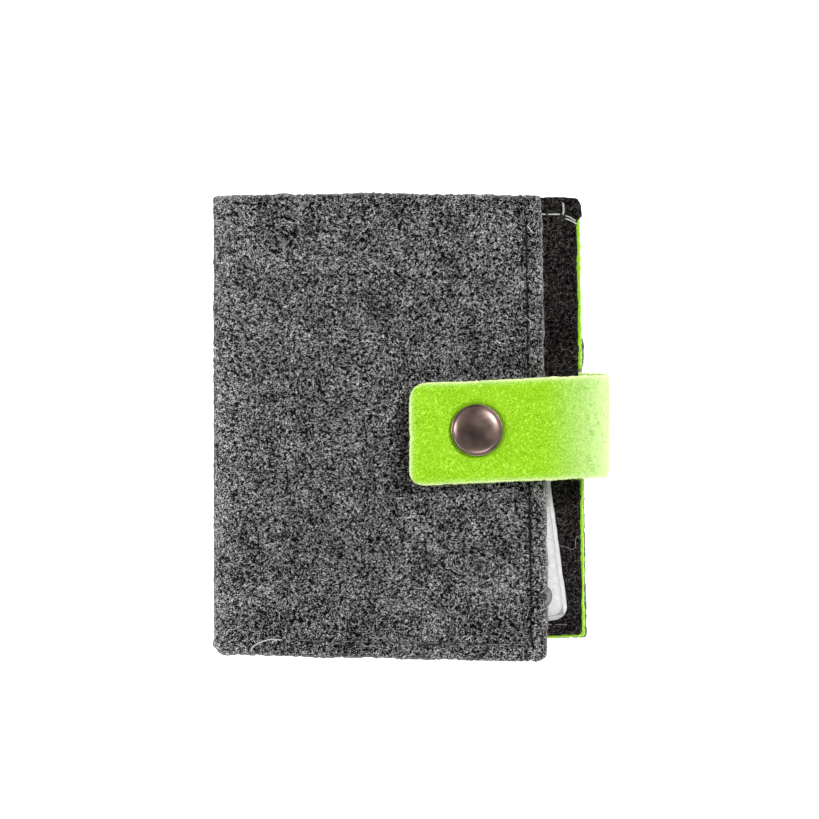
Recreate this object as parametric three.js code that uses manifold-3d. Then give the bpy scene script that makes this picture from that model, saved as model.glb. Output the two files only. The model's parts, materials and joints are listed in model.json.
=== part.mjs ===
// A bifold card holder of thick grey felt, lying closed, with a lime felt strap that wraps round its open side and
// snaps on to the front. Millimetres: +X to the open side, +Y to the top edge, +Z up through the closed front cover.
import * as THREE from "three";
import { mergeVertices } from "three/addons/utils/BufferGeometryUtils.js";
import Module from "manifold-3d";

const wasm = await Module();
wasm.setup();

// Thicknesses of the layers.
const COVER_FELT = 2.0;
const STRAP_FELT = 1.8;
const LINING_FELT = 1.8;
const NOTCH_GAP = 0.3;
const BACK_PANEL_FELT = 1.4;
const FRONT_PANEL_FELT = 1.0;
const SLEEVE_WALL = 0.25;
const THREAD = 0.3;
const THREAD_LIFT = 0.05;
const LAYER_GAP = 0.2;
const FOLD_GAP = 0.05;
const THIN_GAP = 0.15;

// Cards of the bank-card size, and the clear sleeve that holds them.
const CARD_WIDTH = 53.98;
const CARD_LENGTH = 85.6;
const CARD_THICKNESS = 0.76;
const CARD_CORNER = 3.18;
const CARD_COUNT = 3;
const CARD_PITCH = 0.8;
const CARD_STEP = new THREE.Vector2(0.5, 0.4);
const CARD_ROOM = 0.3;
const CARD_LIFT = 0.07;
const SLEEVE_WIDTH = 57;
const SLEEVE_LENGTH = 90;
const SLEEVE_RIM = 0.6;
const SLEEVE_CAVITY = 2.5;
const SLEEVE_CORNER = 2.8;
const SLEEVE_TAB = 40;
const SLEEVE_TAB_INSET = 12;
const SLEEVE_TURN = THREE.MathUtils.degToRad(7.65);
const SLEEVE_PLACE = new THREE.Vector2(37.65, -45.7);

// The folds. A bend's radius is that of the middle of the felt.
const SPINE_OUTSIDE = -47.4;
const SPINE_RADIUS = 4.5;
const LOOP_OUTSIDE = 47.4;
const LOOP_RADIUS = 5.5;
const BEND_STEPS = 10;

// The strap and its snap, a common 12.5 mm size.
const STRAP_WIDTH = 24.4;
const STRAP_SLOPE = Math.tan(THREE.MathUtils.degToRad(2.6));
const STRAP_BELOW_SNAP = 0.5;
const STRAP_END = -0.4;
const STRAP_CORNER = 4;
const STRAP_TAIL = 11;
const SNAP = new THREE.Vector2(15.7, -0.6);
const CAP_RADIUS = 6.25;
const CAP_HEIGHT = 1.8;
const SHANK_RADIUS = 1.3;
const SHANK_HOLE = 1.6;
const FLANGE = 0.4;
const STUD_RADIUS = 5;
const STUD_BASE = 0.5;
const STUD_HEIGHT = 2.3;
const BALL_RADIUS = 2.05;
const SOCKET_RADIUS = 5.7;
const SOCKET_HEIGHT = 2;
const ROUND_STEPS = 32;

// Levels, from the table up.
const LINING_Z = COVER_FELT + LAYER_GAP;
const TAB_Z = LINING_Z + LINING_FELT + THIN_GAP;
const BACK_PANEL_Z = TAB_Z + SLEEVE_WALL + THIN_GAP;
const BACK_PANEL_TOP = BACK_PANEL_Z + BACK_PANEL_FELT;
const SLEEVE_Z = BACK_PANEL_TOP + THREAD + LAYER_GAP;
const SLEEVE_TOP = SLEEVE_Z + SLEEVE_CAVITY + 2 * SLEEVE_WALL;
const FRONT_PANEL_Z = SLEEVE_TOP + LAYER_GAP;
const FLANGE_Z = FRONT_PANEL_Z + FRONT_PANEL_FELT + THIN_GAP;
const FRONT_COVER_Z = FLANGE_Z + FLANGE + THIN_GAP;
const FRONT_TOP = FRONT_COVER_Z + COVER_FELT;
const STUD_Z = FRONT_TOP + THIN_GAP;
const SOCKET_Z = STUD_Z + STUD_BASE + LAYER_GAP;
const STRAP_Z = SOCKET_Z + SOCKET_HEIGHT + THIN_GAP;
const CAP_Z = STRAP_Z + STRAP_FELT + THIN_GAP;

// Where the flat felt ends and its bend begins.
const SPINE_X = SPINE_OUTSIDE + COVER_FELT / 2 + SPINE_RADIUS;
const LOOP_X = LOOP_OUTSIDE - STRAP_FELT / 2 - LOOP_RADIUS;

const MATERIALS = {
  greyFelt: { color: 0x55575a, roughness: 1, metalness: 0 },
  darkFelt: { color: 0x191919, roughness: 1, metalness: 0 },
  limeFelt: { color: 0x9fe01f, roughness: 1, metalness: 0 },
  darkThread: { color: 0x2b2b2d, roughness: 0.8, metalness: 0 },
  paleThread: { color: 0xb9b9b4, roughness: 0.8, metalness: 0 },
  pewter: { color: 0x6a5f5b, roughness: 0.3, metalness: 1 },
  steel: { color: 0x9a9a9c, roughness: 0.35, metalness: 1 },
  clearPlastic: { color: 0xe6e8e8, roughness: 0.35, metalness: 0, transparent: true, opacity: 0.5 },
  whiteCard: { color: 0xf2f2f0, roughness: 0.5, metalness: 0 },
};

const holder = new THREE.Group();

function add(name, material, geometry, parent = holder) {
  const mesh = new THREE.Mesh(geometry, new THREE.MeshStandardMaterial(MATERIALS[material]));
  mesh.name = name;
  parent.add(mesh);
  return mesh;
}

// A closed geometry as a solid that can be cut and joined.
function solid(geometry) {
  const bare = geometry.clone();
  bare.deleteAttribute("normal");
  bare.deleteAttribute("uv");
  const merged = mergeVertices(bare, 1e-4);
  const vertProperties = new Float32Array(merged.attributes.position.array);
  const triVerts = new Uint32Array(merged.index.array);
  return new wasm.Manifold(new wasm.Mesh({ numProp: 3, vertProperties, triVerts }));
}

function geometryOf(manifold) {
  const mesh = manifold.getMesh();
  const geometry = new THREE.BufferGeometry();
  geometry.setAttribute("position", new THREE.BufferAttribute(new Float32Array(mesh.vertProperties), 3));
  geometry.setIndex(new THREE.BufferAttribute(new Uint32Array(mesh.triVerts), 1));
  geometry.computeVertexNormals();
  return geometry;
}

function cut(geometry, ...tools) {
  return geometryOf(tools.reduce((left, tool) => left.subtract(solid(tool)), solid(geometry)));
}

function join(...geometries) {
  return geometryOf(geometries.map(solid).reduce((whole, next) => whole.add(next)));
}

// An outline through [x, y, corner radius] points.
function outline(points) {
  const shape = new THREE.Shape();
  const corners = points.map(([x, y, radius = 0]) => ({ at: new THREE.Vector2(x, y), radius }));
  corners.forEach(({ at, radius }, i) => {
    const before = corners.at(i - 1).at;
    const after = corners[(i + 1) % corners.length].at;
    const start = at.clone().add(before.clone().sub(at).setLength(radius));
    const end = at.clone().add(after.clone().sub(at).setLength(radius));
    if (i === 0) shape.moveTo(start.x, start.y);
    else shape.lineTo(start.x, start.y);
    if (radius > 0) shape.quadraticCurveTo(at.x, at.y, end.x, end.y);
  });
  shape.closePath();
  return shape;
}

// A flat layer with this outline, from one level up.
function layer(shape, bottom, thickness) {
  const options = { depth: thickness, bevelEnabled: false, curveSegments: 8 };
  return new THREE.ExtrudeGeometry(shape, options).translate(0, 0, bottom);
}

function block(low, high) {
  const size = high.clone().sub(low);
  const middle = low.clone().add(high).multiplyScalar(0.5);
  return new THREE.BoxGeometry(size.x, size.y, size.z).translate(middle.x, middle.y, middle.z);
}

// A turned piece about a vertical axis through the snap, from [radius, height] points.
function turned(points) {
  const profile = points.map(([radius, height]) => new THREE.Vector2(radius, height));
  if (THREE.ShapeUtils.area(profile) < 0) profile.reverse();
  const geometry = new THREE.LatheGeometry(profile, ROUND_STEPS).rotateX(Math.PI / 2);
  return geometry.translate(SNAP.x, SNAP.y, 0);
}

function snapHole(radius) {
  const reach = 2 * CAP_Z;
  const hole = new THREE.CylinderGeometry(radius, radius, reach, ROUND_STEPS).rotateX(Math.PI / 2);
  return hole.translate(SNAP.x, SNAP.y, 0);
}

// The places along a bend that turns felt from one level up to another. side is 1 for a bend that bulges to +X.
function bend(x, lowZ, highZ, radius, side) {
  const places = [];
  for (let i = 0; i <= BEND_STEPS; i++) {
    const turn = ((i / BEND_STEPS) * Math.PI) / 2;
    const out = new THREE.Vector2(side * Math.sin(turn), -Math.cos(turn));
    places.push({ out, x: x + radius * out.x, z: lowZ + radius + radius * out.y });
  }
  const upper = places.map(({ out, x: at, z }) => ({
    out: new THREE.Vector2(out.x, -out.y),
    x: at,
    z: lowZ + highZ - z,
  }));
  places.push(...upper.reverse());
  let along = 0;
  places.forEach((place, i) => {
    const last = places[Math.max(0, i - 1)];
    along += Math.hypot(place.x - last.x, place.z - last.z);
    place.along = along;
  });
  return places;
}

// Felt that follows a bend. edges(share of the way along, distance along) gives its two edges in Y.
function bentFelt(places, thickness, edges) {
  const positions = [];
  const index = [];
  const total = places.at(-1).along;
  for (const { x, z, out, along } of places) {
    const [low, high] = edges(along / total, along);
    for (const [face, y] of [[-1, low], [1, low], [1, high], [-1, high]]) {
      positions.push(x + (face * thickness * out.x) / 2, y, z + (face * thickness * out.y) / 2);
    }
  }
  const quad = (a, b, c, d) => index.push(a, b, c, a, c, d);
  for (let i = 0; i + 1 < places.length; i++) {
    for (let k = 0; k < 4; k++) {
      const next = (k + 1) % 4;
      quad(4 * i + k, 4 * i + next, 4 * i + 4 + next, 4 * i + 4 + k);
    }
  }
  const end = 4 * (places.length - 1);
  quad(3, 2, 1, 0);
  quad(end, end + 1, end + 2, end + 3);
  const geometry = new THREE.BufferGeometry();
  geometry.setAttribute("position", new THREE.Float32BufferAttribute(positions, 3));
  geometry.setIndex(index);
  if (volume(geometry) < 0) geometry.setIndex(index.reverse());
  geometry.computeVertexNormals();
  return geometry;
}

function volume(geometry) {
  const { position } = geometry.attributes;
  const corner = (i) => new THREE.Vector3().fromBufferAttribute(position, geometry.index.getX(i));
  let sum = 0;
  for (let i = 0; i < geometry.index.count; i += 3) {
    sum += corner(i).dot(corner(i + 1).cross(corner(i + 2))) / 6;
  }
  return sum;
}

// A run of stitching between two places, lying on a face.
function seam(name, material, from, to, faceZ) {
  const run = new THREE.Vector2(...to).sub(new THREE.Vector2(...from));
  const bar = new THREE.BoxGeometry(run.length(), THREAD, THREAD - THREAD_LIFT);
  const mesh = add(name, material, bar);
  mesh.position.set((from[0] + to[0]) / 2, (from[1] + to[1]) / 2, faceZ + (THREAD + THREAD_LIFT) / 2);
  mesh.rotation.z = run.angle();
}

// Outlines. The back lies about one degree off square to the front, as the cover was folded by hand.
const FRONT_LEFT = { low: -54.6, high: 55.9 };
const BACK_LEFT = { low: -53.2, high: 55.2 };
const PANEL_OPEN_SIDE = -12;

const frontOutline = outline([
  [SPINE_X, FRONT_LEFT.low],
  [32.8, -56.2, 0.8],
  [31.2, 55.4, 0.8],
  [15, 56.1, 13],
  [-12, 56.3, 12],
  [SPINE_X, FRONT_LEFT.high],
]);
const backOutline = outline([
  [SPINE_X, BACK_LEFT.low],
  [42.2, -50.5, 1],
  [41.6, -17, 10],
  [40.2, 53.2, 0.5],
  [38.9, 55.4, 0.5],
  [SPINE_X, BACK_LEFT.high],
]);
const liningOutline = outline([
  [SPINE_X + 1, -52.6],
  [41.7, -50.4, 0.8],
  [40.5, 52.4, 0.8],
  [38.4, 54.6],
  [SPINE_X + 1, 53.8],
]);
const backPanelOutline = outline([
  [PANEL_OPEN_SIDE, -50.8],
  [41, -49.8, 0.8],
  [39.65, 53.2, 0.5],
  [38.6, 55.3, 0.5],
  [PANEL_OPEN_SIDE, 54.8],
]);
const frontPanelOutline = outline([
  [PANEL_OPEN_SIDE, -54.6],
  [32.2, -55.5, 0.8],
  [30.6, 54.6, 0.8],
  [PANEL_OPEN_SIDE, 54.9],
]);

// Outer cover: back, spine and front are one piece of felt, parted here at its folds.
add("back_cover", "greyFelt", layer(backOutline, 0, COVER_FELT));
add("front_cover", "greyFelt", cut(layer(frontOutline, FRONT_COVER_Z, COVER_FELT), snapHole(SHANK_HOLE)));
const spinePlaces = bend(SPINE_X - FOLD_GAP, COVER_FELT / 2, FRONT_TOP - COVER_FELT / 2, SPINE_RADIUS, -1);
const spineEdges = (share) => [
  THREE.MathUtils.lerp(BACK_LEFT.low, FRONT_LEFT.low, share),
  THREE.MathUtils.lerp(BACK_LEFT.high, FRONT_LEFT.high, share),
];
add("spine", "greyFelt", bentFelt(spinePlaces, COVER_FELT, spineEdges));

// Inside the back: the lime lining, with a notch for the strap's tail, and the pocket panel that is open to the spine.
const loopPlaces = bend(LOOP_X + FOLD_GAP, LINING_Z + STRAP_FELT / 2, STRAP_Z + STRAP_FELT / 2, LOOP_RADIUS, 1);
const loopLength = loopPlaces.at(-1).along;
const strapFrontY = (x) => SNAP.y - STRAP_BELOW_SNAP + (x - SNAP.x) * STRAP_SLOPE;
const loopY = (along) => strapFrontY(LOOP_X) + (loopLength - along) * STRAP_SLOPE;
const tailY = (x) => loopY(0) + (LOOP_X - x) * STRAP_SLOPE;

// A band of strap felt between two places along X, with round corners at its left end.
function strapBand(left, right, middleY, grow, corner) {
  const half = STRAP_WIDTH / 2 + grow;
  return outline([
    [left - grow, middleY(left) - half, corner],
    [right, middleY(right) - half],
    [right, middleY(right) + half],
    [left - grow, middleY(left) + half, corner],
  ]);
}

const tailLeft = LOOP_X - STRAP_TAIL;
const notch = layer(strapBand(tailLeft, LOOP_X + LOOP_RADIUS, tailY, NOTCH_GAP, 0), LINING_Z - 1, LINING_FELT + 2);
add("back_lining", "limeFelt", cut(layer(liningOutline, LINING_Z, LINING_FELT), notch));
add("back_inner_panel", "darkFelt", layer(backPanelOutline, BACK_PANEL_Z, BACK_PANEL_FELT));
add("front_inner_panel", "darkFelt", layer(frontPanelOutline, FRONT_PANEL_Z, FRONT_PANEL_FELT));

// The strap: its tail is sewn in under the back's panel, its loop goes round the open side, its front carries the snap.
add("strap_tail", "limeFelt", layer(strapBand(tailLeft, LOOP_X, tailY, 0, 1), LINING_Z, STRAP_FELT));
const loopEdges = (share, along) => [loopY(along) - STRAP_WIDTH / 2, loopY(along) + STRAP_WIDTH / 2];
add("strap_loop", "limeFelt", bentFelt(loopPlaces, STRAP_FELT, loopEdges));
const strapFront = strapBand(STRAP_END, LOOP_X, strapFrontY, 0, STRAP_CORNER);
add("strap_front", "limeFelt", cut(layer(strapFront, STRAP_Z, STRAP_FELT), snapHole(SHANK_HOLE)));

// Stitching.
seam("front_seam_right", "darkThread", [28.8, -51], [27.5, 49], FRONT_TOP);
seam("front_seam_bottom", "darkThread", [-31, -51], [27.6, -52.2], FRONT_TOP);
seam("back_seam_right", "paleThread", [38.4, -48.6], [36.4, 54.4], BACK_PANEL_TOP);
seam("back_seam_top", "paleThread", [PANEL_OPEN_SIDE + 0.5, 51.1], [35.95, 51.3], BACK_PANEL_TOP);
seam("back_seam_bottom", "paleThread", [PANEL_OPEN_SIDE + 0.5, -47.8], [37.7, -47.4], BACK_PANEL_TOP);

// The snap. Its cap is riveted through the strap into the socket, which a sprung wire closes round the stud.
const shankEnd = STUD_Z + STUD_HEIGHT + LAYER_GAP;
const dome = [];
for (let i = 0; i <= 8; i++) {
  const turn = ((i / 8) * Math.PI) / 2;
  dome.push([CAP_RADIUS * Math.cos(turn) ** 0.8, CAP_Z + 0.4 + (CAP_HEIGHT - 0.4) * Math.sin(turn)]);
}
dome[dome.length - 1][0] = 0;
add("snap_cap", "pewter", turned([
  [0, shankEnd],
  [SHANK_RADIUS, shankEnd],
  [SHANK_RADIUS, CAP_Z],
  [CAP_RADIUS - 0.3, CAP_Z],
  ...dome,
]));
const socketTop = SOCKET_Z + SOCKET_HEIGHT;
const lip = BALL_RADIUS + 0.45;
const groove = SOCKET_RADIUS - 2.1;
add("snap_socket", "steel", turned([
  [SHANK_RADIUS + 0.2, socketTop],
  [SOCKET_RADIUS - 0.5, socketTop],
  [SOCKET_RADIUS, socketTop - 0.5],
  [SOCKET_RADIUS, SOCKET_Z + 0.4],
  [SOCKET_RADIUS - 0.4, SOCKET_Z],
  [lip, SOCKET_Z],
  [lip, SOCKET_Z + 0.35],
  [groove, SOCKET_Z + 0.35],
  [groove, SOCKET_Z + 1.2],
  [lip, SOCKET_Z + 1.2],
  [lip, socketTop - 0.3],
  [SHANK_RADIUS + 0.2, socketTop - 0.3],
  [SHANK_RADIUS + 0.2, socketTop],
]));
const SPRING_WIRE = 0.28;
const springArc = new THREE.CatmullRomCurve3(
  Array.from({ length: 13 }, (_, i) => {
    const turn = THREE.MathUtils.degToRad(40 + (i / 12) * 280);
    const radius = (BALL_RADIUS + groove) / 2 + 0.1;
    return new THREE.Vector3(SNAP.x + radius * Math.cos(turn), SNAP.y + radius * Math.sin(turn), SOCKET_Z + 0.78);
  }),
);
const wire = new THREE.Shape().absarc(0, 0, SPRING_WIRE, 0, 2 * Math.PI);
add("snap_spring", "steel", new THREE.ExtrudeGeometry(wire, { steps: 36, curveSegments: 4, extrudePath: springArc }));
const studTop = STUD_Z + STUD_HEIGHT;
const bore = SHANK_RADIUS + 0.15;
add("snap_stud", "steel", turned([
  [bore, STUD_Z],
  [STUD_RADIUS, STUD_Z],
  [STUD_RADIUS, STUD_Z + STUD_BASE - 0.2],
  [STUD_RADIUS - 0.3, STUD_Z + STUD_BASE],
  [BALL_RADIUS - 0.3, STUD_Z + STUD_BASE + 0.2],
  [BALL_RADIUS - 0.3, STUD_Z + 1.2],
  [BALL_RADIUS, STUD_Z + 1.6],
  [BALL_RADIUS - 0.1, STUD_Z + 2],
  [BALL_RADIUS - 0.6, studTop],
  [0, studTop],
  [0, studTop - 0.5],
  [bore, studTop - 0.5],
  [bore, STUD_Z],
]));
add("snap_post", "steel", turned([
  [0, FLANGE_Z],
  [STUD_RADIUS - 0.2, FLANGE_Z],
  [STUD_RADIUS - 0.2, FLANGE_Z + FLANGE],
  [SHANK_RADIUS, FLANGE_Z + FLANGE],
  [SHANK_RADIUS, studTop - 0.7],
  [0, studTop - 0.7],
]));

// The clear sleeve and its cards stand a little turned. The sleeve's tab goes round the panel's open side into the
// pocket, and its top is open.
const insert = new THREE.Group();
insert.position.set(SLEEVE_PLACE.x, SLEEVE_PLACE.y, 0);
insert.rotation.z = SLEEVE_TURN;
holder.add(insert);

function sheetOutline(left, bottom, right, top, corner) {
  return outline([[left, bottom, corner], [right, bottom, corner], [right, top, corner], [left, top, corner]]);
}

const page = layer(
  sheetOutline(-SLEEVE_WIDTH, 0, 0, SLEEVE_LENGTH, SLEEVE_CORNER),
  SLEEVE_Z,
  SLEEVE_CAVITY + 2 * SLEEVE_WALL,
);
const pageCavity = layer(
  sheetOutline(-SLEEVE_WIDTH + SLEEVE_RIM, SLEEVE_RIM, -SLEEVE_RIM, 2 * SLEEVE_LENGTH, CARD_CORNER - 0.8),
  SLEEVE_Z + SLEEVE_WALL,
  SLEEVE_CAVITY,
);
const tabHigh = SLEEVE_LENGTH - SLEEVE_TAB_INSET;
const tabFold = block(
  new THREE.Vector3(-SLEEVE_WIDTH - SLEEVE_WALL, SLEEVE_TAB_INSET, TAB_Z),
  new THREE.Vector3(-SLEEVE_WIDTH + SLEEVE_WALL, tabHigh, SLEEVE_Z + SLEEVE_WALL),
);
const tab = block(
  new THREE.Vector3(-SLEEVE_WIDTH - SLEEVE_WALL, SLEEVE_TAB_INSET, TAB_Z),
  new THREE.Vector3(-SLEEVE_WIDTH + SLEEVE_TAB, tabHigh, TAB_Z + SLEEVE_WALL),
);
add("card_sleeve", "clearPlastic", join(cut(page, pageCavity), tabFold, tab), insert);

const cardOutline = sheetOutline(-CARD_WIDTH, 0, 0, CARD_LENGTH, CARD_CORNER);
for (let i = 0; i < CARD_COUNT; i++) {
  const card = add(`card_${i + 1}`, "whiteCard", layer(cardOutline, 0, CARD_THICKNESS), insert);
  const level = SLEEVE_Z + SLEEVE_WALL + CARD_LIFT + i * CARD_PITCH;
  const inset = SLEEVE_RIM + CARD_ROOM;
  card.position.set(-inset - i * CARD_STEP.x, inset + i * CARD_STEP.y, level);
}

// The origin is the middle of the footprint, on the table.
holder.updateMatrixWorld(true);
const whole = new THREE.Box3().setFromObject(holder, true);
const middle = whole.getCenter(new THREE.Vector3());
holder.position.set(-middle.x, -middle.y, -whole.min.z);

export default holder;
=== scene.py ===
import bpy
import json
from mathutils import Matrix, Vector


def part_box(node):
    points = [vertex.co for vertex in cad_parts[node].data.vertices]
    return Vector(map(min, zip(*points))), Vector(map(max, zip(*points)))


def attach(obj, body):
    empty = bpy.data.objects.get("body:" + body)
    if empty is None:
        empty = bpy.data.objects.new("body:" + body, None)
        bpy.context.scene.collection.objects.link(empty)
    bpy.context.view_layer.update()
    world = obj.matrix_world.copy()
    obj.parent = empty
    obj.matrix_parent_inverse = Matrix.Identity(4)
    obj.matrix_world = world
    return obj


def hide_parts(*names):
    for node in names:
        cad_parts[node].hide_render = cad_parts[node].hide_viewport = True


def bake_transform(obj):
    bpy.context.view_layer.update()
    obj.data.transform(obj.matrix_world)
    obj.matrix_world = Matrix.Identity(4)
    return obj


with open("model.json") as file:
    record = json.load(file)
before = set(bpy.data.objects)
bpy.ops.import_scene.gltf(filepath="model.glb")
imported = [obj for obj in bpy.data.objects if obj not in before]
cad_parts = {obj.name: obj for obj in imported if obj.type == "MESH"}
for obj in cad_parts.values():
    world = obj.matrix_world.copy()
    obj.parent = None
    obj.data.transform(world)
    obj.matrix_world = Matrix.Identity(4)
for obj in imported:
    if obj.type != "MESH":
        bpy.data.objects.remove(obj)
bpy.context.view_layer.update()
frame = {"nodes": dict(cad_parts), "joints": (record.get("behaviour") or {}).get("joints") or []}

import json
import math

import bpy
import numpy as np

# A felt card holder lying closed, seen from straight above. Shapes are worked out in millimetres from the frame's
# boxes, and become metres when their meshes are made. "Flat" places (s, y) are places on a piece of felt before it is
# bent: s runs along X and is the same as X wherever the felt lies flat. A sheet is a grid of flat places, the path
# that bends them, half its thickness and its relief. A look is a material and the record's slot that it stands for.
MM = 0.001
TINY = 1e-9


# Reading the frame

def low(node):
    return np.array(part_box(node)[0]) / MM


def high(node):
    return np.array(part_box(node)[1]) / MM


def level_of(node):
    """The height of a flat node's middle, and half its thickness."""
    return (low(node)[2] + high(node)[2]) / 2, (high(node)[2] - low(node)[2]) / 2


def points_of(node):
    mesh = frame["nodes"][node].data
    places = np.empty(3 * len(mesh.vertices), np.float32)
    mesh.vertices.foreach_get("co", places)
    return places.reshape(-1, 3).astype(float) / MM


def hull(points, least_turn=1e-6):
    """The convex outline of points in a plane, anticlockwise."""
    ordered = sorted(map(tuple, np.round(points, 4)))
    halves = []
    for run in (ordered, ordered[::-1]):
        half = []
        for p in run:
            while len(half) > 1:
                (ax, ay), (bx, by) = half[-2:]
                if (bx - ax) * (p[1] - ay) - (by - ay) * (p[0] - ax) > least_turn:
                    break
                half.pop()
            half.append(p)
        halves += half[:-1]
    return np.array(halves)


def chain(ring, start, stop):
    count = (stop - start) % len(ring)
    return ring[(start + np.arange(count + 1)) % len(ring)]


def distances(line):
    """How far along a line each of its points is."""
    return np.concatenate([[0], np.cumsum(np.linalg.norm(np.diff(line, axis=0), axis=1))])


def along(line, fractions):
    """Places on a line at fractions of its length."""
    gone = distances(line)
    return np.stack([np.interp(fractions, gone / gone[-1], line[:, k]) for k in range(line.shape[1])], -1)


class Outline:
    """The edge of a flat CAD node, as four sides that run from low to high X or Y."""

    def __init__(self, node, tolerance=0.01):
        points = points_of(node)
        self.ring = hull(points[points[:, 2] > points[:, 2].max() - tolerance][:, :2])
        total, slant = self.ring @ [1, 1], self.ring @ [1, -1]
        lower_left, upper_right = total.argmin(), total.argmax()
        lower_right, upper_left = slant.argmax(), slant.argmin()
        self.bottom = chain(self.ring, lower_left, lower_right)
        self.right = chain(self.ring, lower_right, upper_right)
        self.top = chain(self.ring, upper_right, upper_left)[::-1]
        self.left = chain(self.ring, upper_left, lower_left)[::-1]
        self.wide, self.tall = np.ptp(self.bottom[:, 0]), np.ptp(self.left[:, 1])

    def grid(self, u, v):
        """Places spread evenly over the outline, u across and v up."""
        bottom, top = along(self.bottom, u)[:, None], along(self.top, u)[:, None]
        left, right = along(self.left, v)[None], along(self.right, v)[None]
        u, v = u[:, None, None], v[None, :, None]
        low_side = (1 - v) * bottom[0, 0] + v * top[0, 0]
        high_side = (1 - v) * bottom[-1, 0] + v * top[-1, 0]
        return (1 - v) * bottom + v * top + (1 - u) * (left - low_side) + u * (right - high_side)


EDGE_STEPS = np.array([0, 0.12, 0.3, 0.55, 0.9])


def spread(length, pitch, cut_low=True, cut_high=True):
    """Fractions along a length, closer together by a cut end."""
    start = EDGE_STEPS if cut_low else EDGE_STEPS[:1]
    end = length - (EDGE_STEPS[::-1] if cut_high else EDGE_STEPS[:1])
    inner = np.linspace(start[-1], end[0], max(2, round((end[0] - start[-1]) / pitch) + 1))
    return np.concatenate([start[:-1], inner, end[1:]]) / length


# Noise and small shapes

NOISE_CELLS = 256
NOISE_SHIFT = (57.3, 91.7)


def ease(t):
    return t * t * (3 - 2 * t)


def step(x, start, stop):
    """0 before start, 1 after stop, smooth between them."""
    return ease(np.clip((np.asarray(x, float) - start) / (stop - start), 0, 1))


def hump(x, width):
    """1 at 0, fading to both sides over a width."""
    return np.exp(-(x / width) ** 2)


def patch(grid, i, j, i1, j1, a, b):
    """Values inside a grid's cells, a and b of the way from corner i, j to corner i1, j1."""
    return (grid[i, j] * (1 - a) + grid[i1, j] * a) * (1 - b) + (grid[i, j1] * (1 - a) + grid[i1, j1] * a) * b


def lumps(s, y, size, seed):
    """Smooth random heights from -1 to 1, with hills about a size across."""
    table = np.random.default_rng(seed).uniform(-1, 1, (NOISE_CELLS, NOISE_CELLS))
    s, y = np.broadcast_arrays(*(np.asarray(v, float) / size + shift for v, shift in zip((s, y), NOISE_SHIFT)))
    i, j = np.floor(s).astype(int), np.floor(y).astype(int)
    a, b = ease(s - i), ease(y - j)
    return patch(table, i % NOISE_CELLS, j % NOISE_CELLS, (i + 1) % NOISE_CELLS, (j + 1) % NOISE_CELLS, a, b)


def layered(s, y, layers, seed):
    """Lumps added up. Each layer is a height and a size, and takes the next seed."""
    return sum(height * lumps(s, y, size, seed + k) for k, (height, size) in enumerate(layers))


def run_of(node):
    """The two ends of a straight seam."""
    points = points_of(node)[:, :2]
    centre = points.mean(0)
    axis = np.linalg.svd(points - centre, full_matrices=False)[2][0]
    axis = axis * np.sign(axis[np.abs(axis).argmax()])
    half = ((points - centre) @ axis).max()
    return centre - axis * half, centre + axis * half


def length_of(run):
    return np.linalg.norm(run[1] - run[0])


def beside(s, y, run):
    """How far places are along a run and to its left."""
    start, stop = run
    axis = (stop - start) / length_of(run)
    ds, dy = s - start[0], y - start[1]
    return ds * axis[0] + dy * axis[1], dy * axis[0] - ds * axis[1]


STITCH = 3.5
HOLE_SHARE = 0.2
SEAM_FADE = (-1.5, 0.5)


def pitch_of(run):
    """The length of one stitch on a seam that starts and ends with a whole stitch."""
    return length_of(run) / round(length_of(run) / STITCH)


def furrow(s, y, run, depth, width):
    """How deep felt is pulled in along a seam, most at each needle hole."""
    gone, off = beside(s, y, run)
    inside = step(gone, *SEAM_FADE) * step(length_of(run) - gone, *SEAM_FADE)
    holes = HOLE_SHARE * (np.cos(2 * math.pi * gone / pitch_of(run)) - 1)
    return depth * hump(off, width) * inside * (1 + holes)


def fold(end, level, radius, side, sense, sweep=math.pi / 2):
    """A path for felt that is flat up to an end, then bends to one side and goes on straight."""
    def path(s, y):
        past = np.maximum(side * (s - end), 0)
        turn = np.minimum(past / radius, sweep)
        extra = np.maximum(past - radius * sweep, 0)
        x = np.where(past > 0, end + side * (radius * np.sin(turn) + extra * math.cos(sweep)), s)
        z = level + sense * (radius * (1 - np.cos(turn)) + extra * math.sin(sweep))
        return np.stack([x, y + 0 * s, z], -1), np.stack([-side * sense * np.sin(turn), 0 * z, np.cos(turn)], -1)
    return path


def level_path(level):
    """A path for a sheet without a bend, at a level that is a number or a function of s and y."""
    def path(s, y):
        z = level(s, y) if callable(level) else level + 0 * s
        return np.stack([s, y, z], -1), np.stack([0 * s, 0 * s, 1 + 0 * s], -1)
    return path


# Making meshes

def unit(vectors):
    return vectors / (np.linalg.norm(vectors, axis=-1, keepdims=True) + TINY)


def link(name, data):
    made = bpy.data.objects.new(name, data)
    bpy.context.scene.collection.objects.link(made)
    return made


def piece(name, places, faces, look, attributes=None, sharp=None):
    """A mesh object from places in mm. attributes holds a number or a vector for each place."""
    material, slot = look
    mesh = bpy.data.meshes.new(name)
    mesh.from_pydata((np.asarray(places) * MM).tolist(), [], [list(map(int, f)) for f in faces])
    for key, values in (attributes or {}).items():
        values = np.asarray(values, np.float32)
        kind, word = ("FLOAT", "value") if values.ndim == 1 else ("FLOAT_VECTOR", "vector")
        mesh.attributes.new(key, kind, "POINT").data.foreach_set(word, values.ravel())
    mesh.polygons.foreach_set("use_smooth", np.ones(len(mesh.polygons), bool))
    if sharp is not None:
        ends = np.empty(2 * len(mesh.edges), np.int32)
        mesh.edges.foreach_get("vertices", ends)
        flags = sharp[ends.reshape(-1, 2)].all(1)
        mesh.attributes.new("sharp_edge", "BOOLEAN", "EDGE").data.foreach_set("value", flags)
    mesh.materials.append(material)
    mesh.update()
    made = link(name, mesh)
    return made


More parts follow.
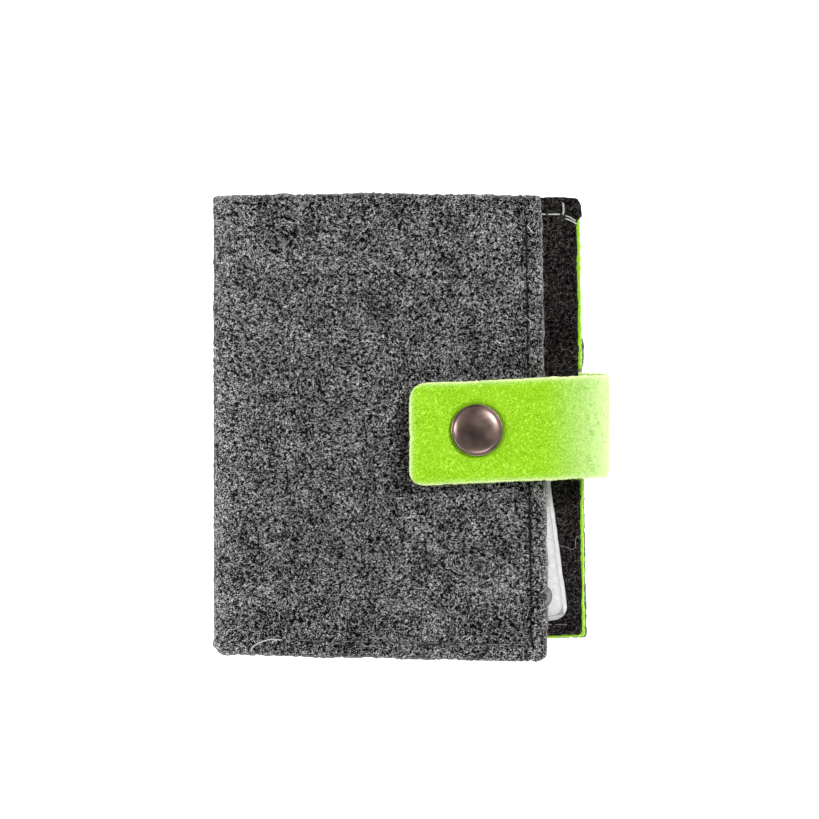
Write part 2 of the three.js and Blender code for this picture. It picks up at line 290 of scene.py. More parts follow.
# Cut edges of felt: how far they are ragged and wavy and how long each tooth and wave is, how far into the felt that
# reaches, how full the felt is at its edge, how far its middle bulges there, and how wide the painted highlight along
# it is.
RAGGED, RAGGED_SIZE = 0.13, 0.5
WAVE, WAVE_SIZE = 0.16, 5
EDGE_FADE = 0.7
EDGE_FULLNESS = 0.62
EDGE_BULGE, EDGE_BULGE_SIZE = 0.12, 1.5
EDGE_HIGHLIGHT_WIDTH = 0.35
SIDE_SHIFT = 9
FAR = 1e3


def edge_gaps(flat):
    sides = (flat[:1], flat[-1:], flat[:, :1], flat[:, -1:])
    return [np.linalg.norm(flat - side, axis=2) for side in sides]


def slab(name, sheet, cut, look, seed, paling=None, ragged=RAGGED, wave=WAVE, pull_and_shade=None):
    """A closed sheet with rough round edges on its cut sides: left, right, bottom, top. relief(s, y, face) is how far
    the upper (1) or lower (-1) face stands out. The function after the seed gives how much paler it is: painted
    light and painted highlight with random mottle on felt, and the weld on the sleeve's film. The last gives how much
    darker its upper face is: painted shade in seam furrows and a painted shadow round the snap's cap."""
    flat, path, half, relief = sheet
    moved = flat.copy()
    rim = np.full(flat.shape[:2], FAR)
    for k, (gap, is_cut) in enumerate(zip(edge_gaps(flat), cut)):
        if not is_cut:
            continue
        axis, sign = k // 2, (-1, 1)[k % 2]
        place = flat[..., 1 - axis]
        push = (ragged * lumps(place, SIDE_SHIFT * k, RAGGED_SIZE, seed + 11)
                + wave * lumps(place, SIDE_SHIFT * k, WAVE_SIZE, seed + 12))
        moved[..., axis] += sign * push * np.exp(-gap / EDGE_FADE)
        rim = np.minimum(rim, gap)
    s, y = moved[..., 0], moved[..., 1]
    rounding = np.sqrt(1 - (1 - np.clip(rim / EDGE_STEPS[-1], 0, 1)) ** 2)
    fullness = EDGE_FULLNESS + (1 - EDGE_FULLNESS) * rounding
    mid, out = path(s, y)
    thick = [half * fullness + relief(s, y, face) for face in (1, -1)]
    faces_up, faces_down = mid + out * thick[0][..., None], mid - out * thick[1][..., None]

    # The ring of the grid's border, and the places half-way down its edge.
    n, m = flat.shape[:2]
    index = np.arange(n * m).reshape(n, m)
    ring = np.concatenate([index[:, 0], index[-1, 1:], index[-2::-1, -1], index[0, -2:0:-1]])
    i, j = np.unravel_index(ring, (n, m))
    outward = unit(flat[i, j] - flat[np.clip(i, 1, n - 2), np.clip(j, 1, m - 2)])
    free = np.zeros(len(ring), bool)
    for flag, is_cut in zip((i == 0, i == n - 1, j == 0, j == m - 1), cut):
        free |= flag & (not is_cut)
    bulge = np.where(free, 0, EDGE_BULGE * (1 + lumps(i * 1.0, j * 1.0, EDGE_BULGE_SIZE, seed + 13)))
    edge = moved[i, j] + outward * bulge[:, None]
    middle, _ = path(edge[:, 0], edge[:, 1])

    places = np.concatenate([faces_up.reshape(-1, 3), faces_down.reshape(-1, 3), middle])
    top = np.stack([index[:-1, :-1], index[1:, :-1], index[1:, 1:], index[:-1, 1:]], -1).reshape(-1, 4)
    under = top[:, ::-1] + n * m
    a, b = ring, np.roll(ring, -1)
    c = 2 * n * m + np.arange(len(ring))
    d = np.roll(c, -1)
    walls = np.concatenate([np.stack([a + n * m, b + n * m, d, c], -1), np.stack([c, d, b, a], -1)])

    rest = np.concatenate([np.dstack([moved, 0 * s + half]).reshape(-1, 3),
                           np.dstack([moved, 0 * s - half]).reshape(-1, 3), np.column_stack([edge, 0 * bulge])])
    # How much paler each place is (painted light and highlight with mottle on felt, the weld on film), and how much
    # darker its upper face is painted as shade.
    paled = np.zeros(len(places)) if paling is None else paling(rest[:, 0], rest[:, 1])
    painted_shade = np.zeros(len(places)) if pull_and_shade is None else pull_and_shade(rest[:, 0], rest[:, 1]) * (rest[:, 2] > 0)
    # A painted highlight along cut edges, fading over a short width.
    edge_highlight_fade = np.exp(-rim / EDGE_HIGHLIGHT_WIDTH).ravel()
    edge_highlight = np.concatenate([edge_highlight_fade, edge_highlight_fade, np.where(free, 0, 1)])
    sharp = np.zeros(len(places), bool)
    sharp[ring[free]] = sharp[ring[free] + n * m] = sharp[c[free]] = True
    return piece(name, places, np.concatenate([top, under, walls]), look,
                 {"rest": rest, "paling": paled, "rim": edge_highlight, "pull_and_shade": painted_shade}, sharp)


def ring_of(across, up, sides):
    """Unit steps from each point of a line to a ring round it."""
    turn = np.arange(sides) / sides * 2 * math.pi
    return across[..., None, :] * np.cos(turn)[:, None] + up[..., None, :] * np.sin(turn)[:, None]


def bands(rings, sides):
    """Faces between rings of places, each ring with as many places as it has sides."""
    k = np.arange(rings - 1)[:, None] * sides
    a, b = k + np.arange(sides), k + (np.arange(sides) + 1) % sides
    return np.stack([a, b, b + sides, a + sides], -1).reshape(-1, 4)


def tube(points, radius, sides, steep=0.9):
    """Places and faces of a round bar along points, closed at both ends."""
    points = np.asarray(points, float)
    radius = np.broadcast_to(radius, len(points))
    tangent = unit(np.gradient(points, axis=0))
    across = unit(np.cross(tangent, np.where(np.abs(tangent[:, 2:]) > steep, [[1.0, 0, 0]], [[0, 0, 1.0]])))
    ring = ring_of(across, np.cross(across, tangent), sides)
    places = (points[:, None] + ring * radius[:, None, None]).reshape(-1, 3)
    ends = np.arange(len(places))
    return places, [*bands(len(points), sides)[:, ::-1], ends[:sides], ends[-sides:][::-1]]


def gather(parts):
    places, faces, count = [], [], 0
    for part_places, part_faces in parts:
        places.append(part_places)
        faces += [np.asarray(face) + count for face in part_faces]
        count += len(part_places)
    return np.concatenate(places), faces


# A thread's two plies: the length of a turn and of a step, and their offset and radius as shares of the thread's.
PLY_TURN = 1.1
PLY_STEP = 0.16
PLY_OFFSET = 0.45
PLY_RADIUS = 0.62


def thread(line, radius):
    """Two plies twisted round each other along a line of close points."""
    line = np.asarray(line, float)
    length = distances(line)[-1]
    count = max(8, int(length / PLY_STEP))
    line = along(line, np.linspace(0, 1, count))
    tangent = unit(np.gradient(line, axis=0))
    across = unit(np.cross(tangent, [0, 0, 1.0]))
    turn = np.linspace(0, length, count)[:, None] / PLY_TURN * 2 * math.pi
    offset = (across * np.cos(turn) + np.cross(across, tangent) * np.sin(turn)) * radius * PLY_OFFSET
    end = np.minimum(np.arange(count), np.arange(count)[::-1])
    thick = radius * PLY_RADIUS * np.where(end < 1, 0.5, 1)
    return gather([tube(line + offset, thick, 5), tube(line - offset, thick, 5)])


def smooth_line(points, count=40):
    """A smooth line through a few places."""
    points = np.asarray(points, float)
    gone = distances(points)
    t = np.linspace(0, gone[-1], count)
    slopes = np.gradient(points, gone, axis=0)
    k = np.clip(np.searchsorted(gone, t, side="right") - 1, 0, len(gone) - 2)
    h = (gone[k + 1] - gone[k])[:, None]
    f = (t[:, None] - gone[k][:, None]) / h
    return ((2 * f ** 3 - 3 * f ** 2 + 1) * points[k] + (f ** 3 - 2 * f ** 2 + f) * h * slopes[k]
            + (3 * f ** 2 - 2 * f ** 3) * points[k + 1] + (f ** 3 - f ** 2) * h * slopes[k + 1])


# Single fibres: how thick each is at its points, and how much it bends as a whole and at each point.
TAPER = np.array([0.25, 0.9, 1, 0.9, 0.25])
STRAND_POINTS = len(TAPER)
CURL = 0.3
WAG = 0.35
# Fibres on a face are this long, or a few of them longer, and keep this far from the edges.
STRAND_LENGTH = (0.7, 2.4)
LONG_SHARE = 0.02
LONG_STRETCH = 1.8
STRAND_MARGIN = 0.25


def wander(rng, at, heading, span):
    """Curly lines of flat places from a start in a heading."""
    count = len(at)
    bend, line = rng.normal(0, CURL, count), [at]
    for _ in range(STRAND_POINTS - 1):
        heading = heading + bend + rng.normal(0, WAG, count)
        line.append(line[-1] + span[:, None] * np.stack([np.cos(heading), np.sin(heading)], -1))
    return np.stack(line, 1)


def fibres(name, line, path, height, radius, shade, look):
    """Thin three-sided fibres along flat lines, height above the felt's middle, with one shade each."""
    mid, out = path(line[..., 0], line[..., 1])
    centre = mid + out * height[..., None]
    across = unit(np.cross(unit(np.gradient(centre, axis=1)), out))
    ring = ring_of(across, out, 3)
    places = (centre[:, :, None] + ring * (TAPER * radius[:, None])[..., None, None]).reshape(-1, 3)
    size = STRAND_POINTS * 3
    faces = (np.arange(len(line))[:, None, None] * size + bands(STRAND_POINTS, 3)[:, ::-1]).reshape(-1, 4)
    return piece(name, places, faces, look, {"shade": np.repeat(shade, size)})


def strands(name, sheet, face, count, look, seed, radius=(0.04, 0.085), lift=0.1):
    """Loose curly fibres lying on one face of a sheet."""
    flat, path, half, relief = sheet
    rng = np.random.default_rng(seed)
    cells = np.abs(np.diff(flat[..., 0], axis=0))[:, :-1] * np.abs(np.diff(flat[..., 1], axis=1))[:-1]
    i, j = np.unravel_index(rng.choice(cells.size, count, p=(cells / cells.sum()).ravel()), cells.shape)
    a, b = rng.random((2, count, 1))
    at = patch(flat, i, j, i + 1, j + 1, a, b)
    long = rng.random(count) < LONG_SHARE
    span = rng.uniform(*STRAND_LENGTH, count) * np.where(long, LONG_STRETCH, 1) / (STRAND_POINTS - 1)
    line = wander(rng, at, rng.uniform(0, 2 * math.pi, count), span)
    inside = np.ones(count, bool)
    for side, k, sign in ((flat[:, 0], 0, 1), (flat[:, -1], 0, -1), (flat[0], 1, 1), (flat[-1], 1, -1)):
        room = sign * (line[..., 1 - k] - np.interp(line[..., k], side[:, k], side[:, 1 - k]))
        inside &= (room > STRAND_MARGIN).all(1)
    line, long = line[inside], long[inside]
    count = len(line)
    rise = lift * np.sin(np.linspace(0, math.pi, STRAND_POINTS)) * rng.uniform(0.2, 1, (count, 1))
    shade = np.where(long, rng.uniform(0.7, 1, count), rng.beta(1.3, 2.2, count))
    height = face * (half + relief(line[..., 0], line[..., 1], face) + rise)
    return fibres(name, line, path, height, rng.uniform(*radius, count), shade, look)


def fringe(name, sheet, cut, count, look, seed, length=(0.3, 0.9), radius=(0.02, 0.045)):
    """Short fibres that stand out from a sheet's cut sides."""
    flat, path, half, _ = sheet
    rng = np.random.default_rng(seed)
    sides = [flat[0], flat[-1], flat[:, 0], flat[:, -1]]
    outward = [math.pi, 0, -math.pi / 2, math.pi / 2]
    runs = np.array([np.ptp(side, axis=0).max() * is_cut for side, is_cut in zip(sides, cut)])
    line = []
    for side, heading, share in zip(sides, outward, runs / runs.sum()):
        number = round(count * share)
        if number:
            at = along(side, rng.random(number))
            span = rng.uniform(*length, number) / (STRAND_POINTS - 1)
            line.append(wander(rng, at, heading + rng.normal(0, 0.8, number), span))
    line = np.concatenate(line)
    height = half * rng.uniform(-0.8, 0.8, (len(line), 1)) + 0 * line[..., 0]
    thick = rng.uniform(*radius, len(line))
    return fibres(name, line, path, height, thick, rng.beta(1.5, 1.5, len(line)), look)


# Materials

class Nodes:
    """A small builder of shader nodes. A value that goes into a socket is a number, a colour or a node's output."""

    def __init__(self, name, kind=bpy.data.materials):
        self.made = kind.new(name)
        self.made.use_nodes = True
        self.tree = self.made.node_tree
        self.tree.nodes.clear()

    def add(self, kind, inputs=None, **settings):
        node = self.tree.nodes.new(kind)
        for key, value in settings.items():
            setattr(node, key, value)
        for key, value in (inputs or {}).items():
            self.feed(node.inputs[key], value)
        return node

    def feed(self, socket, value):
        if isinstance(value, bpy.types.NodeSocket):
            self.tree.links.new(value, socket)
        else:
            socket.default_value = (*value, 1) if socket.type == "RGBA" else value

    def math(self, operation, a, b=0.0, clamp=False):
        return self.add("ShaderNodeMath", {0: a, 1: b}, operation=operation, use_clamp=clamp).outputs[0]

    def swing(self, value, middle, share):
        """A share of how far a value is from a middle."""
        return self.math("MULTIPLY", self.math("SUBTRACT", value, middle), share)

    def total(self, *values):
        """Values added up and held between 0 and 1."""
        result = values[0]
        for value in values[1:-1]:
            result = self.math("ADD", result, value)
        return self.math("ADD", result, values[-1], clamp=True)

    def blend(self, factor, a, b):
        return self.add("ShaderNodeMix", {0: factor, 6: a, 7: b}, data_type="RGBA").outputs[2]

    def between(self, value, start, stop, low=0.0, high=1.0):
        inputs = {"Value": value, "From Min": start, "From Max": stop, "To Min": low, "To Max": high}
        return self.add("ShaderNodeMapRange", inputs, interpolation_type="SMOOTHSTEP").outputs[0]

    def under(self, value, limit, soft):
        """1 where a value is under a limit, fading to 0 over a soft distance past it."""
        return self.between(value, limit, limit + soft, 1.0, 0.0)

    def attribute(self, name, output="Fac"):
        return self.add("ShaderNodeAttribute", attribute_name=name).outputs[output]

    def place(self, kind="Object"):
        return self.add("ShaderNodeTexCoord").outputs[kind]

    def noise(self, vector, scale, detail, roughness=0.5):
        inputs = {"Vector": vector, "Scale": scale, "Detail": detail, "Roughness": roughness}
        return self.add("ShaderNodeTexNoise", inputs).outputs["Fac"]

    def stretched(self, vector, angle, size):
        inputs = {"Vector": vector, "Rotation": (0, 0, math.radians(angle)), "Scale": size}
        return self.add("ShaderNodeMapping", inputs, vector_type="TEXTURE").outputs[0]

    def ramp(self, value, stops):
        node = self.add("ShaderNodeValToRGB", {"Fac": value})
        band = node.color_ramp.elements
        for k, (place, colour) in enumerate(stops):
            element = band[0] if k == 0 else band[-1] if k == len(stops) - 1 else band.new(place)
            element.position = place
            element.color = (*colour, 1)
        return node.outputs["Color"]

    def bump(self, height, distance, strength):
        inputs = {"Height": height, "Distance": distance * MM, "Strength": strength}
        return self.add("ShaderNodeBump", inputs).outputs[0]

    def finish(self, **inputs):
        inputs = {key.replace("_", " "): value for key, value in inputs.items()}
        shader = self.add("ShaderNodeBsdfPrincipled", inputs)
        self.add("ShaderNodeOutputMaterial", {"Surface": shader.outputs[0]})
        return self.made


def grey(value):
    return (value, value, value)


# Each layer of fibres in felt: how many bends a millimetre, its place in the noise and its share of brightness.
LAYERS = ((1.9, 0.0, 1.0), (2.4, 37.0, 0.9), (1.6, 71.0, 1.0))
FIBRE_WIDTH = 0.055
# The web's usual brightness, and how much the web, the fine grain and the mottling count.
WEB_MIDDLE = 0.36
WEB_SHARE = 1.65
GRAIN_SHARE = 3.0
MOTTLE_SHARE = 0.3


def fibre_pattern(n, rest, fine):
    """Thin curly fibres that come and go, and a fine grain about 0.5."""
    web = 0.0
    for scale, place, share in LAYERS:
        moved = n.add("ShaderNodeVectorMath", {0: rest, 1: (place, place, 0)}, operation="ADD").outputs[0]
        off = n.math("ABSOLUTE", n.math("SUBTRACT", n.noise(moved, scale / fine, 0.6), 0.5))
        line = n.math("SUBTRACT", share, n.math("DIVIDE", off, FIBRE_WIDTH / share), clamp=True)
        seen = n.between(n.noise(moved, 1.15 / fine, 0.0), 0.36, 0.58, 0.25, 1.0)
        web = n.math("MAXIMUM", web, n.math("MULTIPLY", line, seen))
    return web, n.noise(rest, 4.1 / fine, 1.0, 0.7)


def felt(name, stops, edge_highlight_colour, pale_colour, edge_highlight_share=0.5, contrast=1.0, fine=1.0, sheen=0.02, blotch_share=0.5,
         middle=0.5, pale_lift=0.0, pale_share=1.0):
    """Matted felt: stops are its colours from the gaps between fibres to the brightest fibres."""
    n = Nodes(name)
    rest, paling = n.attribute("rest", "Vector"), n.attribute("paling")
    web, grain = fibre_pattern(n, rest, fine)
    # The last term lifts the level where a place is painted paler: painted light by the grey front's fold, the
    # painted highlight on the strap's loop, and random mottle.
    level = n.total(middle,
                    n.swing(web, WEB_MIDDLE, WEB_SHARE * contrast),
                    n.swing(grain, 0.5, GRAIN_SHARE * contrast),
                    n.swing(n.noise(rest, 0.16, 3.0, 0.6), 0.5, blotch_share),
                    n.swing(n.noise(rest, 0.9, 2.0, 0.6), 0.5, MOTTLE_SHARE * contrast),
                    n.math("MULTIPLY", paling, pale_lift))
    # Painted shade: darker in the front's seam furrows, and a painted shadow round the snap's cap on the strap.
    colour = n.blend(n.attribute("pull_and_shade"), n.ramp(level, stops), stops[0][1])
    # A painted highlight along the cut edges, broken into fibre tufts by the grain.
    tufts = n.between(grain, 0.3, 0.62, 0.4 * edge_highlight_share, 2 * edge_highlight_share)
    colour = n.blend(n.math("MULTIPLY", n.attribute("rim"), tufts, clamp=True), colour, edge_highlight_colour)
    # Toward the pale colour where a place is painted paler, as painted light and painted highlight, with random
    # mottle.
    pale_by_level = n.between(level, 0.0, 0.8, 0.75 * pale_share, 1.15 * pale_share)
    colour = n.blend(n.math("MULTIPLY", paling, pale_by_level, clamp=True), colour, pale_colour)
    return n.finish(Base_Color=colour, Roughness=0.95, Sheen_Weight=sheen, Sheen_Roughness=0.5,
                    Specular_IOR_Level=0.03, Normal=n.bump(level, 0.12, 0.8))


def strand_material(name, stops):
    n = Nodes(name)
    return n.finish(Base_Color=n.ramp(n.attribute("shade"), stops), Roughness=0.85, Specular_IOR_Level=0.1)


def thread_material(name, dark, light):
    n = Nodes(name)
    fuzz = n.noise(n.place(), 2600.0, 2.0, 0.7)
    colour = n.blend(n.between(fuzz, 0.3, 0.7), dark, light)
    return n.finish(Base_Color=colour, Roughness=0.75, Specular_IOR_Level=0.2, Normal=n.bump(fuzz, 0.04, 0.6))


def metal(name, tint, shade, roughness, coat=0.0):
    n = Nodes(name)
    place = n.place()
    scratch = n.noise(n.stretched(place, 20, (0.012, 0.0005, 0.01)), 1.0, 2.0, 0.6)
    mixed = n.total(n.math("MULTIPLY", n.noise(place, 260.0, 1.0), 0.85), n.math("MULTIPLY", scratch, 0.15))
    colour = n.blend(n.between(mixed, 0.25, 0.75), shade, tint)
    rough = n.between(mixed, 0.3, 0.7, roughness - 0.06, roughness + 0.08)
    return n.finish(Base_Color=colour, Metallic=1.0, Roughness=rough, Coat_Weight=coat, Coat_Roughness=0.3,
                    Normal=n.bump(scratch, 0.01, 0.25))


GREY_STOPS = [(0.0, grey(0.0004)), (0.25, grey(0.0015)), (0.5, (0.015, 0.015, 0.0157)), (0.75, grey(0.125)),
              (0.98, grey(0.8))]
DARK_STOPS = [(0.0, grey(0.0004)), (0.45, (0.002, 0.0018, 0.0018)), (0.75, (0.022, 0.0195, 0.0185)),
              (1.0, (0.14, 0.125, 0.12))]
LIME_STOPS = [(0.0, (0.17, 0.4, 0.004)), (0.35, (0.29, 0.61, 0.011)), (0.65, (0.39, 0.78, 0.026)),
              (1.0, (0.6, 0.93, 0.12))]
# Pale lime painted for the highlight on the strap's loop.
PAINTED_HIGHLIGHT_LIME = (0.7, 0.9, 0.42)

# The grey felt's pale colour and lift paint light on the front's fold and margin, with its mottle.
GREY_FELT = felt("grey_felt", GREY_STOPS, grey(0.34), (0.33, 0.33, 0.34), edge_highlight_share=0.35, middle=0.295,
                 blotch_share=1.0, pale_lift=0.75, pale_share=0.2), "grey_felt"
DARK_FELT = felt("dark_felt", DARK_STOPS, (0.03, 0.027, 0.025), grey(0.05), edge_highlight_share=0.3, sheen=0.0,
                 middle=0.36), "dark_felt"
LIME_FELT = felt("lime_felt", LIME_STOPS, (0.88, 1.0, 0.5), PAINTED_HIGHLIGHT_LIME, contrast=0.42, fine=1.15, edge_highlight_share=1.0,
                 blotch_share=0.3), "lime_felt"
LINING_FELT = felt("lining_felt", LIME_STOPS, (0.5, 0.9, 0.1), PAINTED_HIGHLIGHT_LIME, contrast=0.44, fine=1.15,
                   blotch_share=0.3), "lime_felt"
GREY_FIBRES = strand_material("grey_fibres", [(0.0, grey(0.002)), (0.35, grey(0.012)), (0.7, grey(0.17)),
                                              (1.0, grey(0.75))]), "grey_felt"
DARK_FIBRES = strand_material("dark_fibres", [(0.0, grey(0.002)), (0.6, grey(0.014)),
                                              (1.0, (0.26, 0.25, 0.24))]), "dark_felt"
LIME_FIBRES = strand_material("lime_fibres", [(0.0, (0.2, 0.5, 0.01)), (0.5, (0.42, 0.85, 0.03)),
                                              (1.0, (0.68, 1.0, 0.2))]), "lime_felt"
DARK_THREAD = thread_material("dark_thread", grey(0.0015), grey(0.007)), "dark_thread"
PALE_THREAD = thread_material("pale_thread", (0.5, 0.5, 0.48), (0.85, 0.85, 0.82)), "pale_thread"
worn_thread = thread_material("worn_thread", grey(0.1), grey(0.3))
LINT = thread_material("lint", grey(0.16), grey(0.34)), "pale_thread"
PEWTER = metal("pewter", (0.25, 0.165, 0.135), (0.13, 0.083, 0.068), 0.32, coat=1.0), "pewter"
steel = metal("steel", grey(0.62), (0.45, 0.45, 0.46), 0.3)

# The camera looks straight down on the closed cover from far enough off to see it almost without perspective.
VIEW_WIDTH = 196.56
VIEW_DISTANCE = 2500
SENSOR = 36
VIEW_CENTRE = (-0.48, 4.3)

camera_data = bpy.data.cameras.new("camera")
camera_data.sensor_width = SENSOR
camera_data.lens = SENSOR * VIEW_DISTANCE / VIEW_WIDTH
camera_data.clip_end = 20
camera = link("camera", camera_data)
camera.location = (VIEW_CENTRE[0] * MM, VIEW_CENTRE[1] * MM, (high("front_cover")[2] + VIEW_DISTANCE) * MM)
bpy.context.scene.camera = camera
bpy.context.scene.view_settings.view_transform = "Standard"

# The outer cover. Its two halves meet in the middle of the spine.
COVER_PITCH = 0.6
FOLD_NICK = 1.1
FOLD_ROWS = 25
COVER_CORNER = 2.2
COVER_LUMPS = ((0.2, 26), (0.09, 6.5), (0.05, 1.7), (0.04, 0.75))
cover_half = level_of("back_cover")[1]
back_level, front_level = low("back_cover")[2] + cover_half, low("front_cover")[2] + cover_half
spine_end = low("back_cover")[0]
spine_radius = spine_end - low("spine")[0] - cover_half
spine_straight = front_level - back_level - 2 * spine_radius
half_spine = spine_radius * math.pi / 2 + spine_straight / 2
back_outline, front_outline = Outline("back_cover"), Outline("front_cover")
middle_left = (back_outline.left[[0, -1], 1] + front_outline.left[[0, -1], 1]) / 2
middle_left[0] += FOLD_NICK
seam_right, seam_bottom = run_of("front_seam_right"), run_of("front_seam_bottom")


def closer(fractions, length, place, reach=1.3, pitch=0.16):
    """Fractions along a length with more of them by a place."""
    extra = np.arange(place - reach, place + reach, pitch) / length
    gap = pitch / length / 2
    kept = fractions[(fractions < extra[0] - gap) | (fractions > extra[-1] + gap)]
    return np.sort(np.concatenate([kept, extra]))


def round_corner(flat, radius):
    """Rounds the lower right corner of a sheet's flat places."""
    centre = flat[-1, 0] + (-radius, radius)
    a, b = (flat[..., 0] - centre[0]) / radius, (centre[1] - flat[..., 1]) / radius
    near = (a > 0) & (b > 0)
    a, b = np.clip(a, 0, 1), np.clip(b, 0, 1)
    flat[..., 0] = np.where(near, centre[0] + radius * a * np.sqrt(1 - b * b / 2), flat[..., 0])
    flat[..., 1] = np.where(near, centre[1] - radius * b * np.sqrt(1 - a * a / 2), flat[..., 1])


def push_right_edge(flat, reach, fade=2.0):
    """Moves a sheet's right edge out by reach(y), and the felt beside it less and less."""
    flat[..., 0] += reach(flat[..., 1]) * np.exp(-(flat[-1:, :, 0] - flat[..., 0]) / fade)


def cover_flat(outline, sewn=False):
    """The flat places of half of the cover, from the middle of the spine to its open side, closer by its seams."""
    v = spread(outline.tall, COVER_PITCH)
    u = spread(outline.wide, COVER_PITCH, cut_low=False)
    if sewn:
        u = closer(u, outline.wide, seam_right[0][0] - outline.bottom[0, 0])
        v = closer(v, outline.tall, (seam_bottom[0][1] + seam_bottom[1][1]) / 2 - outline.left[0, 1])
    body = outline.grid(u, v)
    share = np.linspace(0, 1, FOLD_ROWS + 1)[:-1]
    reach = np.stack([step(share, 0.3, 0.62), share], -1)
    ends = (1 - reach) * middle_left + reach * outline.left[[0, -1], 1]
    rows = ends[:, :1] + (ends[:, 1:] - ends[:, :1]) * v
    columns = np.broadcast_to((spine_end - half_spine * (1 - share))[:, None], rows.shape)
    return np.concatenate([np.dstack([columns, rows]), body])


def front_relief(s, y, face):
    """The front's lumps and furrows. Its margins puff up beyond the seams, and pucker between the lower stitches."""
    bumps = layered(s, y, COVER_LUMPS, 21 if face > 0 else 25)
    pull_and_shade = furrow(s, y, seam_right, 0.62, 0.62) + furrow(s, y, seam_bottom, 0.55, 0.65)
    if face < 0:
        return bumps * 0.6 - 0.3 * pull_and_shade
    _, beyond = beside(s, y, seam_right)
    gone, below = beside(s, y, seam_bottom)
    pucker = 0.24 * np.cos(2 * math.pi * gone / pitch_of(seam_bottom)) * hump(below + 1.8, 1.3)
    puff = 0.28 * hump(beyond + 2.2, 1.3) + 0.2 * hump(below + 1.9, 1.2) - pucker
    return bumps - pull_and_shade + puff + 0.3 * hump(s - spine_end, 9)


def front_light_and_mottle(s, y):
    """Painted light on the front: a little on the puffed margin beyond its right seam and most on the fold, where the
    left light falls, with a random mottle.
    """
    _, beyond = beside(s, y, seam_right)
    lit_fold = 0.36 * np.exp(-np.maximum(s - spine_end + 5, 0) / 4.5)
    return 0.03 * hump(beyond + 2.6, 1.5) + lit_fold + 0.08 * lumps(s, y, 11, 31)


# Painted shade in the seam furrows, most at the needle holes.
def front_seam_shade(s, y):
    return furrow(s, y, seam_right, 0.8, 0.5) + furrow(s, y, seam_bottom, 0.85, 0.4)


def back_relief(s, y, face):
    return 0.5 * layered(s, y, COVER_LUMPS, 41) if face > 0 else 0.25 * layered(s, y, COVER_LUMPS, 45)


def blend_all(pieces, start, end):
    """Bakes the pieces' transforms into their meshes. start and end, places (x, z) in mm, are not used."""
    start, end = ((x * MM, 0, z * MM) for x, z in (start, end))
    for made in pieces:
        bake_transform(made)


cap_centre = (low("snap_cap") + high("snap_cap")) / 2
cap_radius = (high("snap_cap")[0] - low("snap_cap")[0]) / 2
front_flat, back_flat = cover_flat(front_outline, sewn=True), cover_flat(back_outline)
round_corner(front_flat, COVER_CORNER)
# Above the strap the cover shows past the lining for a few millimetres.
COVER_BULGE = 0.7
COVER_BULGE_LENGTH = 3.3
bulge_place = cap_centre[1] + 18.8
push_right_edge(back_flat, lambda y: COVER_BULGE * np.exp(-((y - bulge_place) / COVER_BULGE_LENGTH) ** 4))

COVER_CUT = (False, True, True, True)
front_sheet = front_flat, fold(spine_end, front_level, spine_radius, -1, -1), cover_half, front_relief
back_sheet = back_flat, fold(spine_end, back_level, spine_radius, -1, 1), cover_half, back_relief
cover_front = slab("felt_cover_front", front_sheet, COVER_CUT, GREY_FELT, 50, front_light_and_mottle, 0.2, 0.26, front_seam_shade)
cover_back = slab("felt_cover_back", back_sheet, COVER_CUT, GREY_FELT, 60)
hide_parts("front_cover")
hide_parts("back_cover", "spine")
front_fibres = strands("fibres_cover_front", front_sheet, 1, 7000, GREY_FIBRES, 70)
back_fibres = strands("fibres_cover_back", back_sheet, -1, 2600, GREY_FIBRES, 71, (0.03, 0.07), lift=0.04)
front_fringe = fringe("fringe_cover_front", front_sheet, COVER_CUT, 900, GREY_FIBRES, 72)
back_fringe = fringe("fringe_cover_back", back_sheet, COVER_CUT, 700, GREY_FIBRES, 73)
spine_x = spine_end - spine_radius
blend_all((cover_back, back_fibres, back_fringe),
          start=(spine_end, back_level), end=(spine_x, back_level + spine_radius))
blend_all((cover_front, front_fibres, front_fringe),
          start=(spine_x, front_level - spine_radius), end=(spine_end, front_level))

# The lining and the two panels.
ALL_CUT = (True, True, True, True)
THIN_PITCH = 0.8
PANEL_PITCH = 0.6
NOTCH_ROOM = 0.4
CORNER_SPREAD = 1.2
THIN_LUMPS = ((0.05, 5), (0.03, 1.2))
THIN_EDGE = {"ragged": 0.08, "wave": 0.1}
back_seams = [run_of(node) for node in ("back_seam_right", "back_seam_top", "back_seam_bottom")]


def flat_of(outline, pitch):
    return outline.grid(spread(outline.wide, pitch), spread(outline.tall, pitch))


def lining_places():
    """The lining's flat places, drawn back from its right edge where the strap's tail lies."""
    flat = flat_of(Outline("back_lining"), THIN_PITCH)
    tail_low, tail_high = low("strap_tail"), high("strap_tail")
    rows = flat[-1, :, 1]
    inside = (rows > tail_low[1] - NOTCH_ROOM) & (rows < tail_high[1] + NOTCH_ROOM)
    left = flat[0, :, 0]
    right = np.where(inside, tail_low[0] - NOTCH_ROOM, flat[-1, :, 0])
    share = (flat[..., 0] - left) / (flat[-1, :, 0] - left)
    flat[..., 0] = left + share * (right - left)
    return flat


def thin_relief(s, y, face):
    return layered(s, y, THIN_LUMPS, 81)


def panel_relief(s, y, face):
    bumps = 0.55 * layered(s, y, COVER_LUMPS, 84)
    return 0.3 * bumps if face < 0 else bumps - sum(furrow(s, y, run, 0.34, 0.55) for run in back_seams)


def flat_sheet(flat, node, relief):
    level, half = level_of(node)
    return flat, level_path(level), half, relief


lining_flat = lining_places()
panel_flat = flat_of(Outline("back_inner_panel"), PANEL_PITCH)
inner_flat = flat_of(Outline("front_inner_panel"), THIN_PITCH)
